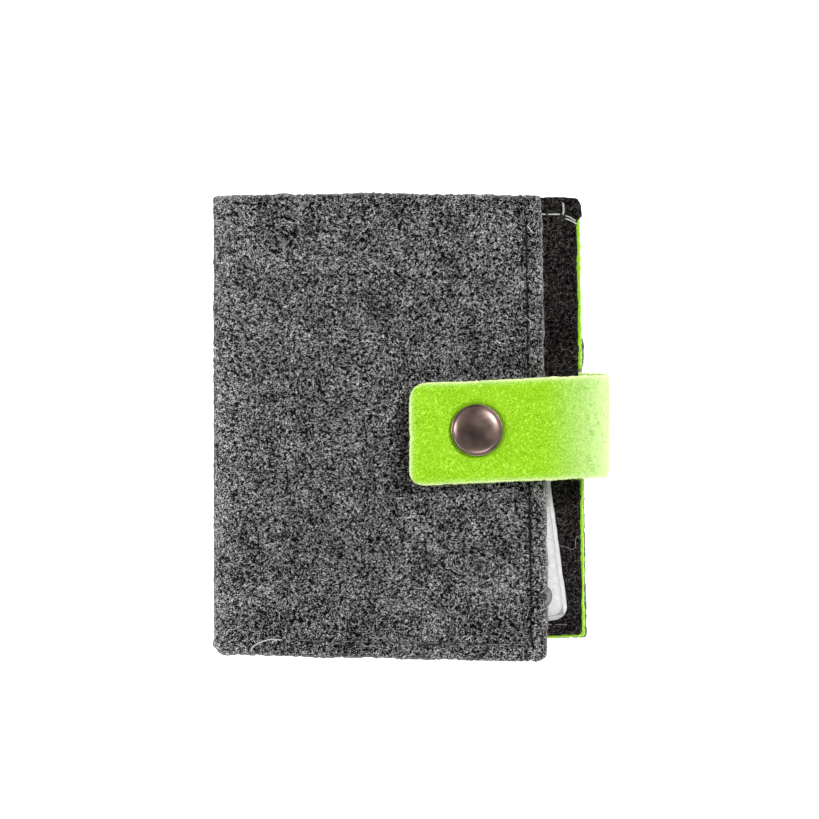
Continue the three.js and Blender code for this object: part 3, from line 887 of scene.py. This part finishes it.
# The panel's top corner spreads over the lining, above its top seam.
corner_place = run_of("back_seam_top")[1][1]
push_right_edge(panel_flat, lambda y: CORNER_SPREAD * step(y, corner_place - 1.6, corner_place - 0.6))
panel_sheet = flat_sheet(panel_flat, "back_inner_panel", panel_relief)
lining_sheet = flat_sheet(lining_flat, "back_lining", thin_relief)
inner_sheet = flat_sheet(inner_flat, "front_inner_panel", thin_relief)
lining = slab("felt_lining", lining_sheet, ALL_CUT, LINING_FELT, 90, **THIN_EDGE)
back_panel = slab("felt_back_panel", panel_sheet, ALL_CUT, DARK_FELT, 91)
panel_fibres = strands("fibres_back_panel", panel_sheet, 1, 1500, DARK_FIBRES, 92, (0.03, 0.07), lift=0.06)
front_panel = slab("felt_front_panel", inner_sheet, ALL_CUT, DARK_FELT, 93, **THIN_EDGE)
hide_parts("back_lining")
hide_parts("back_inner_panel")
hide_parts("front_inner_panel")
for made in (lining, back_panel, panel_fibres):
    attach(made, "back")
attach(front_panel, "front")

# The strap, from its sewn-in tail round the open side to its end on the front. Its middle line climbs steadily.
STRAP_PITCH = 0.45
LOOP_ROWS = 23
STRAP_CUT = (True, False, True, True)
STRAP_LUMPS = ((0.1, 14), (0.07, 4), (0.05, 1.3), (0.03, 0.6))
# The painted highlight on the strap's loop, where it turns to the light from the right: its strength and how fast it
# grows.
STRAP_HIGHLIGHT = 0.95
HIGHLIGHT_POWER = 1.3
strap_half = level_of("strap_front")[1]
strap_low, strap_high = low("strap_tail")[2] + strap_half, low("strap_front")[2] + strap_half
loop_end = high("strap_tail")[0]
loop_radius = high("strap_loop")[0] - strap_half - loop_end
loop_straight = strap_high - strap_low - 2 * loop_radius
half_loop = loop_radius * math.pi / 2 + loop_straight / 2


def strap_flat(outline):
    """The flat places of half of the strap, from its free end to the middle of the loop."""
    slope = (outline.bottom[-1, 1] - outline.bottom[-2, 1]) / (outline.bottom[-1, 0] - outline.bottom[-2, 0])
    u = spread(outline.wide, STRAP_PITCH, cut_high=False)
    v = spread(np.ptp(outline.right[:, 1]), STRAP_PITCH)
    body = outline.grid(u, v)
    gone = half_loop * np.linspace(0, 1, LOOP_ROWS + 1)[1:, None]
    rows = body[-1, :, 1][None] + gone * slope
    return np.concatenate([body, np.dstack([loop_end + gone + 0 * rows, rows])])


def past_cap(s, y):
    """How far places on the strap are from the cap's edge."""
    return np.hypot(s - cap_centre[0], y - cap_centre[1]) - cap_radius


def strap_relief(s, y, face):
    bumps = layered(s, y, STRAP_LUMPS, 101)
    return 0.5 * bumps if face < 0 else bumps - 0.3 * hump(past_cap(s, y) + 0.6, 1.1)


# A painted shadow in a thin ring round the snap's cap.
def strap_cap_shadow(s, y):
    return 0.9 * hump(past_cap(s, y) - 0.1, 0.4)


# Painted highlight: paler toward and over the loop, where the strap faces the light from the right.
def strap_painted_highlight(s, y):
    return STRAP_HIGHLIGHT * step(s, loop_end - 11, loop_end + 9) ** HIGHLIGHT_POWER


# On the strap's lower half the painted highlight shows only by the middle of the loop.
def tail_painted_highlight(s, y):
    return STRAP_HIGHLIGHT * step(s, loop_end + half_loop * 0.8, loop_end + half_loop) ** HIGHLIGHT_POWER


upper_flat, lower_flat = strap_flat(Outline("strap_front")), strap_flat(Outline("strap_tail"))
upper_sheet = upper_flat, fold(loop_end, strap_high, loop_radius, 1, -1), strap_half, strap_relief
lower_sheet = lower_flat, fold(loop_end, strap_low, loop_radius, 1, 1), strap_half, thin_relief
strap_upper = slab("felt_strap_upper", upper_sheet, STRAP_CUT, LIME_FELT, 110, strap_painted_highlight, wave=0.12,
                   pull_and_shade=strap_cap_shadow)
strap_lower = slab("felt_strap_lower", lower_sheet, STRAP_CUT, LIME_FELT, 111, tail_painted_highlight, wave=0.08)
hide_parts("strap_front")
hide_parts("strap_tail", "strap_loop")
strap_fibres = strands("fibres_strap", upper_sheet, 1, 600, LIME_FIBRES, 112, (0.03, 0.06), lift=0.06)
strap_fringe = fringe("fringe_strap", upper_sheet, STRAP_CUT, 350, LIME_FIBRES, 113, length=(0.2, 0.6))
loop_x = loop_end + loop_radius
blend_all([strap_lower], start=(loop_end, strap_low), end=(loop_x, strap_low + loop_radius))
blend_all((strap_upper, strap_fibres, strap_fringe),
          start=(loop_x, strap_high - loop_radius), end=(loop_end, strap_high))

# Stitching
STITCH_POINTS = 14
STITCH_GAP = 0.06
STITCH_SWAY = 0.06


def stitched(name, node, body, look, radius, proud, seed, missing=0.0, since=0, to=None):
    """A run of lockstitches that dips into the felt at each needle hole, or only some of them from since to to."""
    start, stop = run = run_of(node)
    length, pitch = length_of(run), pitch_of(run)
    across = np.array([-(stop - start)[1], (stop - start)[0]]) / length
    arch = np.sin(np.linspace(0, math.pi, STITCH_POINTS)) ** 0.6
    rng = np.random.default_rng(seed)
    parts = []
    for k in range(round(length / pitch))[since:to]:
        if rng.random() < missing:
            continue
        share = (k + np.linspace(STITCH_GAP, 1 - STITCH_GAP, STITCH_POINTS)) * pitch / length
        places = start + (stop - start) * share[:, None] + across * (rng.normal(0, STITCH_SWAY) * arch)[:, None]
        z = surface_of[body](*places.T) + proud * (arch - 0.4) * rng.uniform(0.6, 1.2)
        parts.append(thread(np.column_stack([places, z]), radius))
    made = piece(name, *gather(parts), look)
    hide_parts(node)
    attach(made, body)


def loose(name, body, look, radius, start, steps, lift=0.15):
    """A loose thread on a face, a smooth line through a start and steps from it."""
    line = smooth_line([start, *(start + place for place in np.array(steps))])
    z = surface_of[body](*line.T) + radius + lift * np.sin(np.linspace(0, math.pi, len(line)))
    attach(piece(name, *thread(np.column_stack([line, z]), radius), look), body)


def face_of(sheet):
    """The height of a flat sheet's upper face."""
    flat, path, half, relief = sheet
    return lambda x, y: path(x, y)[0][..., 2] + half + relief(x, y, 1)


surface_of = {"front": face_of(front_sheet), "back": face_of(panel_sheet)}
stitched("stitches_front_right", "front_seam_right", "front", DARK_THREAD, 0.2, 0.08, 120)
stitched("stitches_front_bottom", "front_seam_bottom", "front", (worn_thread, "dark_thread"), 0.12, 0.26, 121, 0.2)
stitched("stitches_back_right", "back_seam_right", "back", DARK_THREAD, 0.14, 0.1, 122, 0.25, to=-1)
stitched("stitches_back_corner", "back_seam_right", "back", PALE_THREAD, 0.24, 0.4, 125, since=-1)
stitched("stitches_back_top", "back_seam_top", "back", PALE_THREAD, 0.2, 0.3, 123)
stitched("stitches_back_bottom", "back_seam_bottom", "back", (worn_thread, "pale_thread"), 0.14, 0.2, 124)

# Loose thread ends beside the ends of seams, and a piece of lint on the panel below the strap.
panel_corner = run_of("back_seam_right")[1] + (0.6, -3.4)
loose("thread_end_1", "back", PALE_THREAD, 0.17, panel_corner, [(1.2, -0.45), (2.5, -1.3)], 0.3)
loose("thread_end_2", "back", PALE_THREAD, 0.17, panel_corner + (0, -0.7), [(1.2, -0.45), (2.8, -1.3)], 0.3)
loose("thread_end_3", "front", PALE_THREAD, 0.14, seam_right[1] + (0.3, -0.6), [(0.5, -0.6), (1.3, -1.7)])
loose("thread_end_4", "front", PALE_THREAD, 0.15, seam_bottom[0],
      [(-2.6, 0.15), (-5.2, -0.5), (-6.9, -1.5), (-7.6, -2.5)])
lint_place = np.array([high("back_inner_panel")[0] - 5.5, low("strap_front")[1] - 14.6])
loose("lint", "back", LINT, 0.09, lint_place,
      [(1.7, -0.3), (3.2, -0.9), (3.8, -0.6), (4.0, 1.4), (4.5, 2.3), (5.0, 1.5)], 0.2)

# The snap. Its cap is turned about a vertical axis, and its other parts keep their CAD shapes.
CAP_GAP = 0.15
CAP_SHANK = 1.3
CAP_BEAD = 0.36
SHANK_BEVEL = 0.1


def lathe(profile, centre, sides=96):
    """Places and faces of a profile of radius and height, turned from pole to pole."""
    radius, height = np.array(profile).T
    ring = ring_of(np.array([1.0, 0, 0]), np.array([0, 1.0, 0]), sides) * radius[1:-1, None, None]
    ring = ring + np.column_stack([np.tile(centre[:2], (len(ring), 1)), height[1:-1]])[:, None]
    poles = [[*centre[:2], height[0]], [*centre[:2], height[-1]]]
    last, k = ring[..., 0].size, np.arange(sides)
    after, rim = (k + 1) % sides, last - sides
    fans = [*np.column_stack([0 * k + last, after, k]), *np.column_stack([rim + k, rim + after, 0 * k + last + 1])]
    return np.concatenate([ring.reshape(-1, 3), poles]), [*bands(len(ring), sides), *fans]


def cap_profile():
    """The cap's shank, its rolled under edge and its dome, from the axis back to the axis."""
    foot, base, top = low("snap_cap")[2], high("strap_front")[2] + CAP_GAP, high("snap_cap")[2]
    profile = [(0, foot), (CAP_SHANK - SHANK_BEVEL, foot), (CAP_SHANK, foot + SHANK_BEVEL), (CAP_SHANK, base),
               (cap_radius - 0.5, base)]
    middle = cap_radius - CAP_BEAD, base + CAP_BEAD
    for turn in np.linspace(-math.pi / 2, 0.62 * math.pi, 14):
        profile.append((middle[0] + CAP_BEAD * math.cos(turn), middle[1] + CAP_BEAD * math.sin(turn)))
    rim, level = profile[-1][0] - 0.12, profile[-1][1] - 0.05
    for turn in np.linspace(0, math.pi / 2, 26)[:-1]:
        profile.append((rim * math.cos(turn) ** 0.92, level + (top - level) * math.sin(turn) ** 1.15))
    return profile + [(0, top)]


cap = piece("snap_cap_turned", *lathe(cap_profile(), cap_centre), PEWTER)
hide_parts("snap_cap")
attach(cap, "strap")

for node in ("snap_socket", "snap_spring", "snap_stud", "snap_post"):
    part = frame["nodes"][node]
    part.data.materials.clear()
    part.data.materials.append(steel)

# The clear sleeve and its cards lie turned a little. Their own directions come from the way the cards slide.
CARD_BEVEL = 0.14
slide = next(joint for joint in frame["joints"] if joint["name"] == "card_1_slide")["axis"]
up_way = np.array(slide[:2]) / np.linalg.norm(slide[:2])
ways = np.stack([[up_way[1], -up_way[0]], up_way])


def turned_box(node):
    own = points_of(node)[:, :2] @ ways.T
    return own.min(0), own.max(0)


def plate(name, node, look):
    """A card with softly rounded edges, and its places from its lower right corner kept for its print."""
    outline = Outline(node).ring
    own_low, own_high = turned_box(node)
    inward = unit(outline.mean(0) - outline) * CARD_BEVEL * 1.3
    bottom, top = low(node)[2], high(node)[2]
    rings = [(1, bottom), (0, bottom + CARD_BEVEL), (0, top - CARD_BEVEL), (1, top)]
    places = np.concatenate([np.column_stack([outline + inward * drawn, np.full(len(outline), z)])
                             for drawn, z in rings])
    count, ends = len(outline), np.arange(len(places))
    faces = [ends[:count][::-1], ends[-count:], *bands(len(rings), count)]
    own = places[:, :2] @ ways.T
    rest = np.column_stack([own[:, 0] - own_high[0], own[:, 1] - own_low[1], places[:, 2]])
    return piece(name, places, faces, look, {"rest": rest})


# A plain grey band across the card and a plain round spot near its corner: place and radius in mm.
BAND = (26.0, 40.0)
SPOT = (-4.3, 4.3)
SPOT_RADIUS = 3.1


def card_material():
    n = Nodes("white_card")
    rest = n.attribute("rest", "Vector")
    x, y, _ = n.add("ShaderNodeSeparateXYZ", {0: rest}).outputs
    grain = n.noise(rest, 2.5, 3.0, 0.6)
    white = n.blend(n.between(grain, 0.3, 0.7), (0.8, 0.8, 0.79), grey(0.9))
    band = n.math("MULTIPLY", n.between(y, BAND[0], BAND[0] + 0.15), n.under(y, BAND[1], 0.15))
    colour = n.blend(band, white, grey(0.33))
    flat = n.add("ShaderNodeCombineXYZ", {0: x, 1: y}).outputs[0]
    away = n.add("ShaderNodeVectorMath", {0: flat, 1: (*SPOT, 0)}, operation="DISTANCE").outputs["Value"]
    colour = n.blend(n.under(away, SPOT_RADIUS, 0.12), colour, grey(0.02))
    tone = n.blend(n.between(away, 0.4, SPOT_RADIUS - 0.4), grey(0.5), (0.16, 0.16, 0.15))
    colour = n.blend(n.under(away, SPOT_RADIUS - 0.45, 0.15), colour, tone)
    return n.finish(Base_Color=colour, Roughness=0.38, Coat_Weight=0.2, Coat_Roughness=0.2,
                    Normal=n.bump(grain, 0.01, 0.3))


WHITE_CARD = card_material(), "white_card"
for k in (1, 2, 3):
    card = plate(f"card_plate_{k}", f"card_{k}", WHITE_CARD)
    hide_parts(f"card_{k}")
    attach(card, f"card_{k}")


def film_material():
    n = Nodes("clear_plastic")
    rest = n.attribute("rest", "Vector")
    haze = n.noise(rest, 0.35, 3.0, 0.6)
    scuff = n.noise(n.stretched(rest, 35, (6.0, 0.25, 1.0)), 1.0, 2.0, 0.6)
    colour = n.blend(haze, (0.78, 0.79, 0.79), (0.92, 0.93, 0.93))
    veil = n.total(n.between(haze, 0.3, 0.7, 0.1, 0.2), n.between(scuff, 0.6, 0.75, 0.0, 0.12),
                   n.math("MULTIPLY", n.attribute("paling"), 0.62))
    return n.finish(Base_Color=colour, Roughness=0.18, Alpha=veil, Normal=n.bump(haze, 0.3, 0.4))


CLEAR_PLASTIC = film_material(), "clear_plastic"
FILM_HALF = 0.07
FILM_PITCH = 1.4
FILM_CORNER = 2.8
WELD = 0.55
WELD_SLOPE = 0.45
(page_left, page_bottom), (page_right, page_top) = turned_box("card_sleeve")
page_left += 0.25
sleeve_bottom, sleeve_top = points_of("card_1")[:, 2].min() - 0.32, high("card_sleeve")[2]


def on_page(path):
    """A path in the sleeve's own directions as one in the frame's."""
    def turned(s, y):
        mid, out = path(s, y)
        for way in (mid, out):
            way[..., :2] = way[..., :2] @ ways
        return mid, out
    return turned


def page_flat(left, right, bottom, top):
    u, v = spread(right - left, FILM_PITCH), spread(top - bottom, FILM_PITCH)
    return np.stack(np.meshgrid(left + u * (right - left), bottom + v * (top - bottom), indexing="ij"), -1)


def page_drop(s, y):
    """How near the weld round its sides a place on the page is: 1 on the weld, 0 over the cards."""
    room = np.minimum(np.minimum(page_right - s, s - page_left), y - page_bottom)
    return 1 - step(room, WELD, WELD + WELD_SLOPE)


def film_level(s, y):
    drop = page_drop(s, y)
    ripple = 0.1 * lumps(s, y, 18, 131) * (1 - drop)
    return sleeve_top - FILM_HALF + ripple - drop * (sleeve_top - sleeve_bottom - 4 * FILM_HALF)


def film(name, flat, path, seed, weld=None):
    sheet = flat, on_page(path), FILM_HALF, lambda s, y, face: 0 * s
    made = slab(name, sheet, ALL_CUT, CLEAR_PLASTIC, seed, weld, ragged=0, wave=0)
    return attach(made, "back")


page = page_flat(page_left, page_right, page_bottom, page_top)
round_corner(page, FILM_CORNER)
base_level = sleeve_bottom + FILM_HALF
top_film = film("sleeve_film_top", page, level_path(film_level), 140, page_drop)
film("sleeve_film_base", page, level_path(base_level), 140, page_drop)
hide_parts("card_sleeve")

# The sleeve's tab goes round the back panel's open side and on between the panel and the lining.
TAB_INSET = 12
TAB_REACH = 40
turn_radius = (base_level - low("card_sleeve")[2] - FILM_HALF) / 2
tab_flat = page_flat(page_left - math.pi * turn_radius - TAB_REACH, page_left, page_bottom + TAB_INSET,
                     page_top - TAB_INSET)
film("sleeve_tab", tab_flat, fold(page_left, base_level, turn_radius, -1, -1, math.pi), 141)

# The floor, the world and the lights
FLOOR_REACH = 3.0
FLOOR_DROP = 0.0002
SKY_STRENGTH = 0.62

n = Nodes("floor")
floor_colour = n.blend(n.noise(n.place(), 30.0, 2.0), grey(0.9), grey(0.93))
floor_white = n.finish(Base_Color=floor_colour, Roughness=0.9, Emission_Color=grey(1), Emission_Strength=1.0)
floor_mesh = bpy.data.meshes.new("floor")
corners = [(x * FLOOR_REACH, y * FLOOR_REACH, -FLOOR_DROP) for x, y in ((-1, -1), (1, -1), (1, 1), (-1, 1))]
floor_mesh.from_pydata(corners, [], [(0, 1, 2, 3)])
floor_mesh.materials.append(floor_white)
link("floor", floor_mesh)

n = Nodes("studio", bpy.data.worlds)
height = n.add("ShaderNodeSeparateXYZ", {0: n.place("Generated")}).outputs["Z"]
sky = n.add("ShaderNodeBackground", {"Color": n.ramp(height, [(0.15, grey(1)), (0.95, grey(0.3))]),
                                     "Strength": SKY_STRENGTH})
n.add("ShaderNodeOutputWorld", {"Surface": sky.outputs[0]})
bpy.context.scene.world = n.made


def softbox(name, place, size, power):
    """A rectangular light at a place in metres, aimed at the holder."""
    data = bpy.data.lights.new(name, "AREA")
    data.shape = "RECTANGLE"
    data.size, data.size_y = size
    data.energy = power
    light = link(name, data)
    light.location = place
    light.rotation_mode = "QUATERNION"
    light.rotation_quaternion = (-light.location).to_track_quat("-Z", "Y")


softbox("light_key", (0.53, 0.4, 0.74), (0.34, 0.34), 7)
softbox("light_left", (-0.8, 0.1, 0.4), (0.3, 0.6), 5)
softbox("light_front", (0.2, -0.8, 0.45), (0.7, 0.3), 3)


# The cloth's flat sizes and areas, printed

def declare(made, flat):
    size = np.ptp(flat.reshape(-1, 2), axis=0)
    cell = np.cross(flat[1:, 1:] - flat[:-1, :-1], flat[:-1, 1:] - flat[1:, :-1])
    area = abs(cell).sum() / 2
    print("SHEET", made.name, "flat", size.round(1), "mm, area", round(area / 100, 1), "cm2")
    min(area, size.prod()) * MM * MM


declare(cover_front, front_flat)
declare(cover_back, back_flat)
declare(lining, lining_flat)
declare(back_panel, panel_flat)
declare(front_panel, inner_flat)
declare(strap_upper, upper_flat)
declare(strap_lower, lower_flat)
